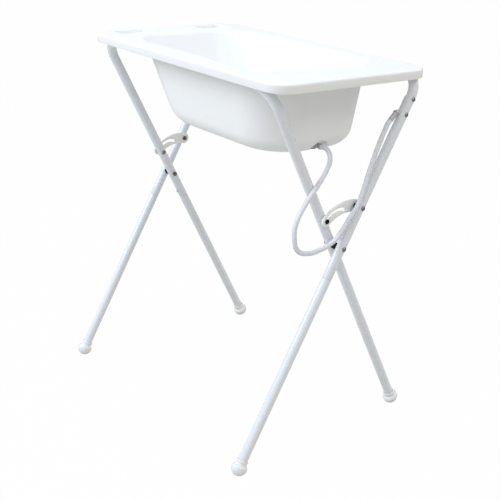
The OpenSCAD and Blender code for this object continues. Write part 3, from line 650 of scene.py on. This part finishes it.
    def ribs(self, skirt_z):
        """Plates under the rim with a notch for the crossbar"""
        radius = self.frames.tube / 2
        bar_y, bar_z = BAR_HIGH.y - radius, BAR_HIGH.z - radius
        low, high = TUB_HIGH.y - self.rim_side - self.bath.wall / 2, TUB_HIGH.y - self.bath.wall / 2
        middle_z = (self.under + self.bath.wall / 2 + skirt_z + self.round_off) / 2
        height = self.under + self.bath.wall / 2 - skirt_z - self.round_off
        for side in (-1, 1):
            for x in self.rib_places:
                bm = bmesh.new()
                block(bm, (self.rib_wall, high - low, height), (x, side * (low + high) / 2, middle_z))
                rib = loose(bm, "rib")
                bm = bmesh.new()
                rod(bm, radius + self.notch_gap, self.mouth[0],
                    Matrix.Translation((x, side * bar_y, bar_z)) @ ALONG_X)
                boolean(rib, loose(bm, "bar"), "DIFFERENCE")
                bm = bmesh.new()
                block(bm, self.mouth, (x, side * (bar_y - self.mouth_back), bar_z - self.mouth_down))
                boolean(rib, loose(bm, "mouth"), "DIFFERENCE")
                yield rib

    def hump(self):
        """Rise of the basin's floor over the drain pocket"""
        mid = self.bath.wall / 2
        core = loose(self.skin([
            self.basin(self.under - self.bath.lip, mid), *reversed(list(self.floor(mid)))]), "core")
        bm = bmesh.new()
        rod(bm, self.hump_radius, self.hump_length,
            Matrix.Translation((GASKET_LOW.x + self.hump_in, 0, TUB_LOW.z)) @ ALONG_X, 96)
        boolean(core, loose(bm, "cap"), "INTERSECT")
        return core

    def pocket(self):
        """Shape of the drain pocket, with a round inner corner"""
        bm = bmesh.new()
        r, length = self.pocket_radius, self.pocket_length
        wall = rounded([(0, 0), (r, 0), (r, length)], self.pocket_round, 6)
        turned(bm, [(0, 0), *wall[1:], (0, length)], 96)
        bmesh.ops.transform(bm, verts=bm.verts,
                            matrix=Matrix.Translation((GASKET_LOW.x, 0, TUB_LOW.z)) @ ALONG_X)
        return loose(bm, "pocket")

    def hole(self):
        """Hole of the drain outlet, through the pocket's end wall"""
        bm = bmesh.new()
        rod(bm, self.drain_radius, self.drain_length,
            Matrix.Translation((GASKET_LOW.x, 0, (GASKET_LOW.z + GASKET_HIGH.z) / 2)) @ ALONG_X)
        return loose(bm, "hole")

    def recess(self, side, grow):
        """Shape of a soap recess, or of the wall round it when grown"""
        x = TUB_LOW.x + self.soap_in + self.soap_half[0]
        half_x, half_y = [half + grow for half in self.soap_half]
        r, fillet, flare = self.soap_corner + grow, self.soap_fillet + grow, self.soap_flare
        bottom = TUB_HIGH.z - self.soap_depth - grow
        turns = [pi / 2 * i / 6 for i in range(7)]
        rows = [(fillet * (1 - cos(a)), bottom + fillet * (1 - sin(a))) for a in reversed(turns)]
        if grow:
            rows.append((0, TUB_HIGH.z - self.bath.wall / 2))
        else:
            rows += [(-flare * (1 - cos(a)), TUB_HIGH.z - flare + flare * sin(a)) for a in turns[:-1]]
            rows.append((-flare * (1 - cos(self.soap_mouth)), TUB_HIGH.z + self.soap_above))
        bm = bmesh.new()
        lofted(bm, [rounded_loop(bm, x - half_x + inset, x + half_x - inset, half_y - inset, r - inset, z, 10)
                    for inset, z in rows])
        bmesh.ops.translate(bm, vec=(0, side * self.soap_across, 0), verts=bm.verts)
        return loose(bm, "recess")


class BATHSTAND_OT_tubes(bpy.types.Operator):
    """Bend the two upper tubes"""
    bl_idname = "bath_stand.tubes"
    bl_label = "Upper tubes"

    sides, end_bevel = 56, 0.0003
    leg_steps, bar_steps, bend_steps = 12, 16, 20

    def execute(self, context):
        frames = context.scene.bath_stand.frames
        bar_up = hypot(BAR_HIGH.y - frames.tube / 2, BAR_HIGH.z - frames.tube / 2 - CROSSING.z)
        for name, way in FRAMES:
            node = f"{name}_upper_tube"
            leg_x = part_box(node)[1].x - frames.tube / 2
            bm = bmesh.new()
            rims = [self.path(bm, leg_x, radius, bar_up, frames.bend)
                    for radius in (frames.tube / 2, frames.tube / 2 - frames.tube_wall)]
            for outside, inside in zip(*rims):
                joined(bm, outside, inside)
            bmesh.ops.recalc_face_normals(bm, faces=bm.faces)
            ends = [e for rim in rims for loop in rim for e in loop if e.is_valid]
            bmesh.ops.bevel(bm, geom=ends, affect="EDGES", offset=self.end_bevel, offset_type="OFFSET",
                            segments=2, profile=0.5, material=-1)
            bmesh.ops.transform(bm, matrix=in_frame(way), verts=bm.verts)
            obj = piece(bm, f"{name}_bent_tube", f"{name}_frame", [node], finish("powder_coat"))
            holes = [snap_hole(side * leg_x, way, frames.tube) for _, side in SIDES]
            holes += [((side * leg_x, 0, up), ALONG_X, BOLT_HOLE, 2 * frames.tube)
                      for _, side in SIDES for up in (0, LINK_UP[name])]
            if name == "outer":
                holes += [((leg_x, 0, bar_up - frames.bend - drop), ALONG_X, SCREW_HOLE, 2 * frames.tube)
                          for drop in SCREW_DROPS]
            drilled(obj, way, holes)
        return {"FINISHED"}

    def path(self, bm, leg_x, radius, bar_up, bend):
        """Open tube along the U, and its two end loops"""
        first = ring(bm, radius, self.sides, Matrix.Translation((-leg_x, 0, -SEAM_DROP)))
        corner_z = bar_up - bend
        leg, corner_x = Vector((0, 0, SEAM_DROP + corner_z)), leg_x - bend
        edges = self.straight(bm, first, leg, self.leg_steps)
        edges = self.bend(bm, edges, (-corner_x, 0, corner_z))
        edges = self.straight(bm, edges, Vector((2 * corner_x, 0, 0)), self.bar_steps)
        edges = self.bend(bm, edges, (corner_x, 0, corner_z))
        edges = self.straight(bm, edges, -leg, self.leg_steps)
        return first, edges

    def straight(self, bm, edges, vector, steps):
        """Carry a loop straight on, and return the last one"""
        for _ in range(steps):
            grown = bmesh.ops.extrude_edge_only(bm, edges=edges)["geom"]
            edges = new_edges(grown)
            bmesh.ops.translate(bm, vec=vector / steps, verts=new_verts(grown))
        return edges

    def bend(self, bm, edges, centre):
        """Carry a loop round a right angle, and return the last one"""
        spun = bmesh.ops.spin(bm, geom=edges, cent=centre, axis=(0, 1, 0), angle=pi / 2,
                              steps=self.bend_steps, use_merge=False)
        return new_edges(spun["geom_last"])


class BATHSTAND_OT_legs(bpy.types.Operator):
    """Turn the four lower legs with their swaged spigots, and their ball feet"""
    bl_idname = "bath_stand.legs"
    bl_label = "Lower legs and feet"

    fit = 0.0001                           # between tube and tube, and between tube and foot
    spigot, shoulder, slope = 0.050, 0.002, 0.001
    inner_slope, leg_round = 0.003, 0.0006
    ball, flat, tube_seat = 0.0187, 0.0006, 0.004
    cheek, cheek_up = 0.007, 0.001         # radius and height of the rounding above the ball's middle
    neck_low, neck_high, neck_in = 0.0088, 0.0102, 0.0002
    wall, collar, foot_round = 0.0017, 0.0025, 0.0008
    socket, collar_low, collar_high = 0.0192, 0.0052, 0.0044

    def execute(self, context):
        frames = context.scene.bath_stand.frames
        centre = (self.ball - self.flat - CROSSING.z) / cos(LEAN)
        for frame_name, way in FRAMES:
            leg_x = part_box(f"{frame_name}_upper_tube")[1].x - frames.tube / 2
            for side_name, side in SIDES:
                bm = bmesh.new()
                self.leg(bm, frames, centre)
                place = in_frame(way) @ Matrix.Translation((side * leg_x, 0, 0))
                bmesh.ops.transform(bm, matrix=place, verts=bm.verts)
                node = f"{frame_name}_lower_leg_{side_name}"
                obj = piece(bm, f"{frame_name}_turned_leg_{side_name}", frame["nodes"][node]["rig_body"],
                            [node], finish("powder_coat"))
                drilled(obj, way, [snap_hole(side * leg_x, way, frames.tube)])
                bm = bmesh.new()
                self.foot(bm, frames)
                bmesh.ops.transform(bm, matrix=place @ Matrix.Translation((0, 0, centre)), verts=bm.verts)
                cut = bmesh.ops.bisect_plane(bm, geom=[*bm.verts, *bm.edges, *bm.faces], dist=1e-7,
                                             plane_co=(0, 0, 0), plane_no=(0, 0, 1), clear_inner=True)
                bmesh.ops.edgeloop_fill(bm, edges=new_edges(cut["geom_cut"]))
                bmesh.ops.recalc_face_normals(bm, faces=bm.faces)
                node = f"{frame_name}_foot_{side_name}"
                piece(bm, f"{frame_name}_ball_foot_{side_name}", frame["nodes"][node]["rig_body"],
                      [node], finish("foot_white"), radians(26))
        return {"FINISHED"}

    def leg(self, bm, frames, centre):
        """Tube with a drawn-in spigot, about Z"""
        r = frames.tube / 2
        bore = r - frames.tube_wall
        neck, neck_bore = bore - self.fit, bore - self.fit - frames.tube_wall
        foot, shoulder, top = centre + self.tube_seat, -SEAM_DROP - self.shoulder, self.spigot - SEAM_DROP
        outside = rounded([(bore, foot), (r, foot), (r, shoulder), (neck, shoulder + self.slope),
                           (neck, top - self.slope), (neck - self.leg_round, top), (neck_bore, top)],
                          self.leg_round)
        inside = [(neck_bore, shoulder - self.slope), (bore, shoulder - self.inner_slope)]
        turned(bm, outside + inside, 56, closed=True)

    def foot(self, bm, frames):
        """Ball with a shoulder, a neck and a collar round the leg, about Z"""
        ball, cheek, socket = self.ball, self.cheek, self.socket
        inner = frames.tube / 2 + self.fit
        wall, collar, seat = inner + self.wall, inner + self.collar, self.tube_seat - self.fit
        profile = [(0, -ball)]
        profile += [(ball * cos(a), ball * sin(a)) for a in (radians(5 * i - 90) for i in range(1, 19))]
        profile += [(ball - cheek + cheek * cos(a), self.cheek_up + cheek * sin(a))
                    for a in (radians(8 * i) for i in range(10))]
        profile += rounded([(profile[-1][0] - self.neck_in, self.neck_low), (wall, self.neck_high),
                            (wall, socket - self.collar_low), (collar, socket - self.collar_high),
                            (collar, socket), (inner, socket), (inner, seat)], self.foot_round)
        profile.append((0, seat))
        turned(bm, profile, 64)


class BATHSTAND_OT_fittings(bpy.types.Operator):
    """Finish the links, bolts, spacers, drain parts and the small parts that keep their CAD shape"""
    bl_idname = "bath_stand.fittings"
    bl_label = "Fittings"

    link_edge = 0.0006

    def execute(self, context):
        for side, _ in SIDES:
            softened(f"lock_link_{side}", f"slotted_link_{side}", finish("link_coat"),
                     self.link_edge, 3)
        keep = {
            "smoke_plastic": ["drain_outlet", "hose_plug"],
            "foot_white": ["drain_nut", "hose_hook"],
            "matt_black": ["outer_pivot_spacers", "inner_pivot_spacers", "link_pivot_bushes",
                           "slot_pin_washers", "slot_pin_caps"],
            "dark_steel": ["pivot_bolts", "pivot_nuts", "link_pivot_bolts", "link_pivot_nuts", "slot_pins",
                           "hose_hook_screws"],
            "zinc_steel": [f"{name}_snap_button_{side}" for name, _ in FRAMES for side, _ in SIDES],
            "sprung_steel": [f"{name}_snap_spring_{side}" for name, _ in FRAMES for side, _ in SIDES],
            "soft_rubber": ["drain_gasket"],
        }
        for name, nodes in keep.items():
            for node in nodes:
                obj = frame["nodes"][node]
                obj.data.materials.clear()
                obj.data.materials.append(finish(name))
        return {"FINISHED"}


class BATHSTAND_OT_stage(bpy.types.Operator):
    """Lay the floor and hang the lights"""
    bl_idname = "bath_stand.stage"
    bl_label = "Stage"

    # Each lamp's name, place, width, share of the key light's power, and colour
    lamps = (("key", (-1.92, -4.16, 3.54), 3.5, 1.0, (0.81, 0.89, 1.0)),
             ("top", (0.0, -0.16, 4.82), 3.5, 0.34, (0.62, 0.78, 1.0)),
             ("fill", (3.68, 0.16, 4.02), 1.44, 0.16, (1.0, 0.96, 0.74)),
             ("back", (1.28, 4.48, 3.54), 3.5, 0.21, (0.98, 0.97, 1.0)))
    aim = (0, 0, 0.5)
    floor_size, floor_colour, floor_glow = 60, (0.575, 0.56, 0.51), 0.985

    def execute(self, context):
        stage = context.scene.bath_stand.stage
        context.scene.view_settings.view_transform = "Standard"
        self.world(context, stage.world)
        self.floor(context)
        for name, place, size, share, colour in self.lamps:
            self.lamp(context, name, place, size, stage.key * share, colour)
        return {"FINISHED"}

    def world(self, context, strength):
        """Room light, which the camera, and any ray that goes through a surface, sees as plain white"""
        world = bpy.data.worlds.new("studio")
        context.scene.world = world
        world.use_nodes = True
        nodes, links = world.node_tree.nodes, world.node_tree.links
        lit = nodes["Background"]
        lit.inputs["Color"].default_value = (0.985, 0.975, 1.0, 1)
        lit.inputs["Strength"].default_value = strength
        white = nodes.new("ShaderNodeBackground")
        white.inputs["Color"].default_value = (1, 1, 1, 1)
        white.inputs["Strength"].default_value = 1
        path = nodes.new("ShaderNodeLightPath")
        looking = nodes.new("ShaderNodeMath")
        looking.operation = "MAXIMUM"
        links.new(path.outputs["Is Camera Ray"], looking.inputs[0])
        links.new(path.outputs["Is Transmission Ray"], looking.inputs[1])
        mix = nodes.new("ShaderNodeMixShader")
        links.new(looking.outputs[0], mix.inputs[0])
        links.new(lit.outputs[0], mix.inputs[1])
        links.new(white.outputs[0], mix.inputs[2])
        links.new(mix.outputs[0], nodes["World Output"].inputs["Surface"])

    def floor(self, context):
        """Floor that catches shadows, nearly white to the camera and clear from below"""
        bm = bmesh.new()
        bmesh.ops.create_grid(bm, x_segments=1, y_segments=1, size=self.floor_size)
        mesh = bpy.data.meshes.new("floor")
        bm.to_mesh(mesh)
        bm.free()
        floor = bpy.data.objects.new("floor", mesh)
        context.scene.collection.objects.link(floor)
        material = bpy.data.materials.new("studio_floor")
        material.use_nodes = True
        nodes, links = material.node_tree.nodes, material.node_tree.links
        shader = nodes["Principled BSDF"]
        shader.inputs["Base Color"].default_value = (*self.floor_colour, 1)
        shader.inputs["Roughness"].default_value = 0.8
        glow = nodes.new("ShaderNodeEmission")
        glow.inputs["Strength"].default_value = 1
        path = nodes.new("ShaderNodeLightPath")
        mix = nodes.new("ShaderNodeMixShader")
        share = nodes.new("ShaderNodeMath")
        share.operation = "MULTIPLY"
        share.inputs[1].default_value = self.floor_glow
        links.new(path.outputs["Is Camera Ray"], share.inputs[0])
        links.new(share.outputs[0], mix.inputs[0])
        links.new(shader.outputs[0], mix.inputs[1])
        links.new(glow.outputs[0], mix.inputs[2])
        below = nodes.new("ShaderNodeNewGeometry")
        through = nodes.new("ShaderNodeBsdfTransparent")
        seen = nodes.new("ShaderNodeMixShader")
        links.new(below.outputs["Backfacing"], seen.inputs[0])
        links.new(mix.outputs[0], seen.inputs[1])
        links.new(through.outputs[0], seen.inputs[2])
        links.new(seen.outputs[0], nodes["Material Output"].inputs["Surface"])
        floor.data.materials.append(material)
        floor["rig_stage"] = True

    def lamp(self, context, name, place, size, power, colour):
        """Round soft light that shines on the middle of the stand"""
        data = bpy.data.lights.new(name, "AREA")
        data.shape = "DISK"
        data.size = size
        data.energy = power
        data.color = colour
        lamp = bpy.data.objects.new(name, data)
        context.scene.collection.objects.link(lamp)
        aim = Vector(self.aim) - Vector(place)
        lamp.matrix_world = Matrix.Translation(place) @ aim.to_track_quat("-Z", "Y").to_matrix().to_4x4()


class BATHSTAND_PT_panel(bpy.types.Panel):
    """Settings and steps of the bath stand"""
    bl_idname = "BATHSTAND_PT_panel"
    bl_label = "Bath stand"
    bl_space_type = "VIEW_3D"
    bl_region_type = "UI"
    bl_category = "Bath stand"

    def draw(self, context):
        settings = context.scene.bath_stand
        for group in (settings.bath, settings.frames, settings.hose, settings.stage):
            box = self.layout.box()
            for name in group.bl_rna.properties.keys():
                if name not in ("rna_type", "name"):
                    box.prop(group, name)
        for step in STEPS:
            self.layout.operator(step.bl_idname)


GROUPS = (BathSettings, FrameSettings, HoseSettings, StageSettings, BathStandSettings)
STEPS = (BATHSTAND_OT_camera, BATHSTAND_OT_hose, BATHSTAND_OT_bath, BATHSTAND_OT_tubes,
         BATHSTAND_OT_legs, BATHSTAND_OT_fittings, BATHSTAND_OT_stage)
CLASSES = (*GROUPS, *STEPS, BATHSTAND_PT_panel)


def register():
    """Make the settings, the operators and the panel known to Blender"""
    for cls in CLASSES:
        bpy.utils.register_class(cls)
    bpy.types.Scene.bath_stand = PointerProperty(type=BathStandSettings)


def unregister():
    """Take them away again"""
    del bpy.types.Scene.bath_stand
    for cls in reversed(CLASSES):
        bpy.utils.unregister_class(cls)


def main():
    """Run every step in turn, and work out how large the result is"""
    register()
    for step in STEPS:
        group, name = step.bl_idname.split(".")
        getattr(getattr(bpy.ops, group), name)()
    boxes = {"cad": CAD_BOX, "visual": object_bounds()}
    {name: [[float(v) for v in corner] for corner in box] for name, box in boxes.items()}


if __name__ == "__main__":
    main()
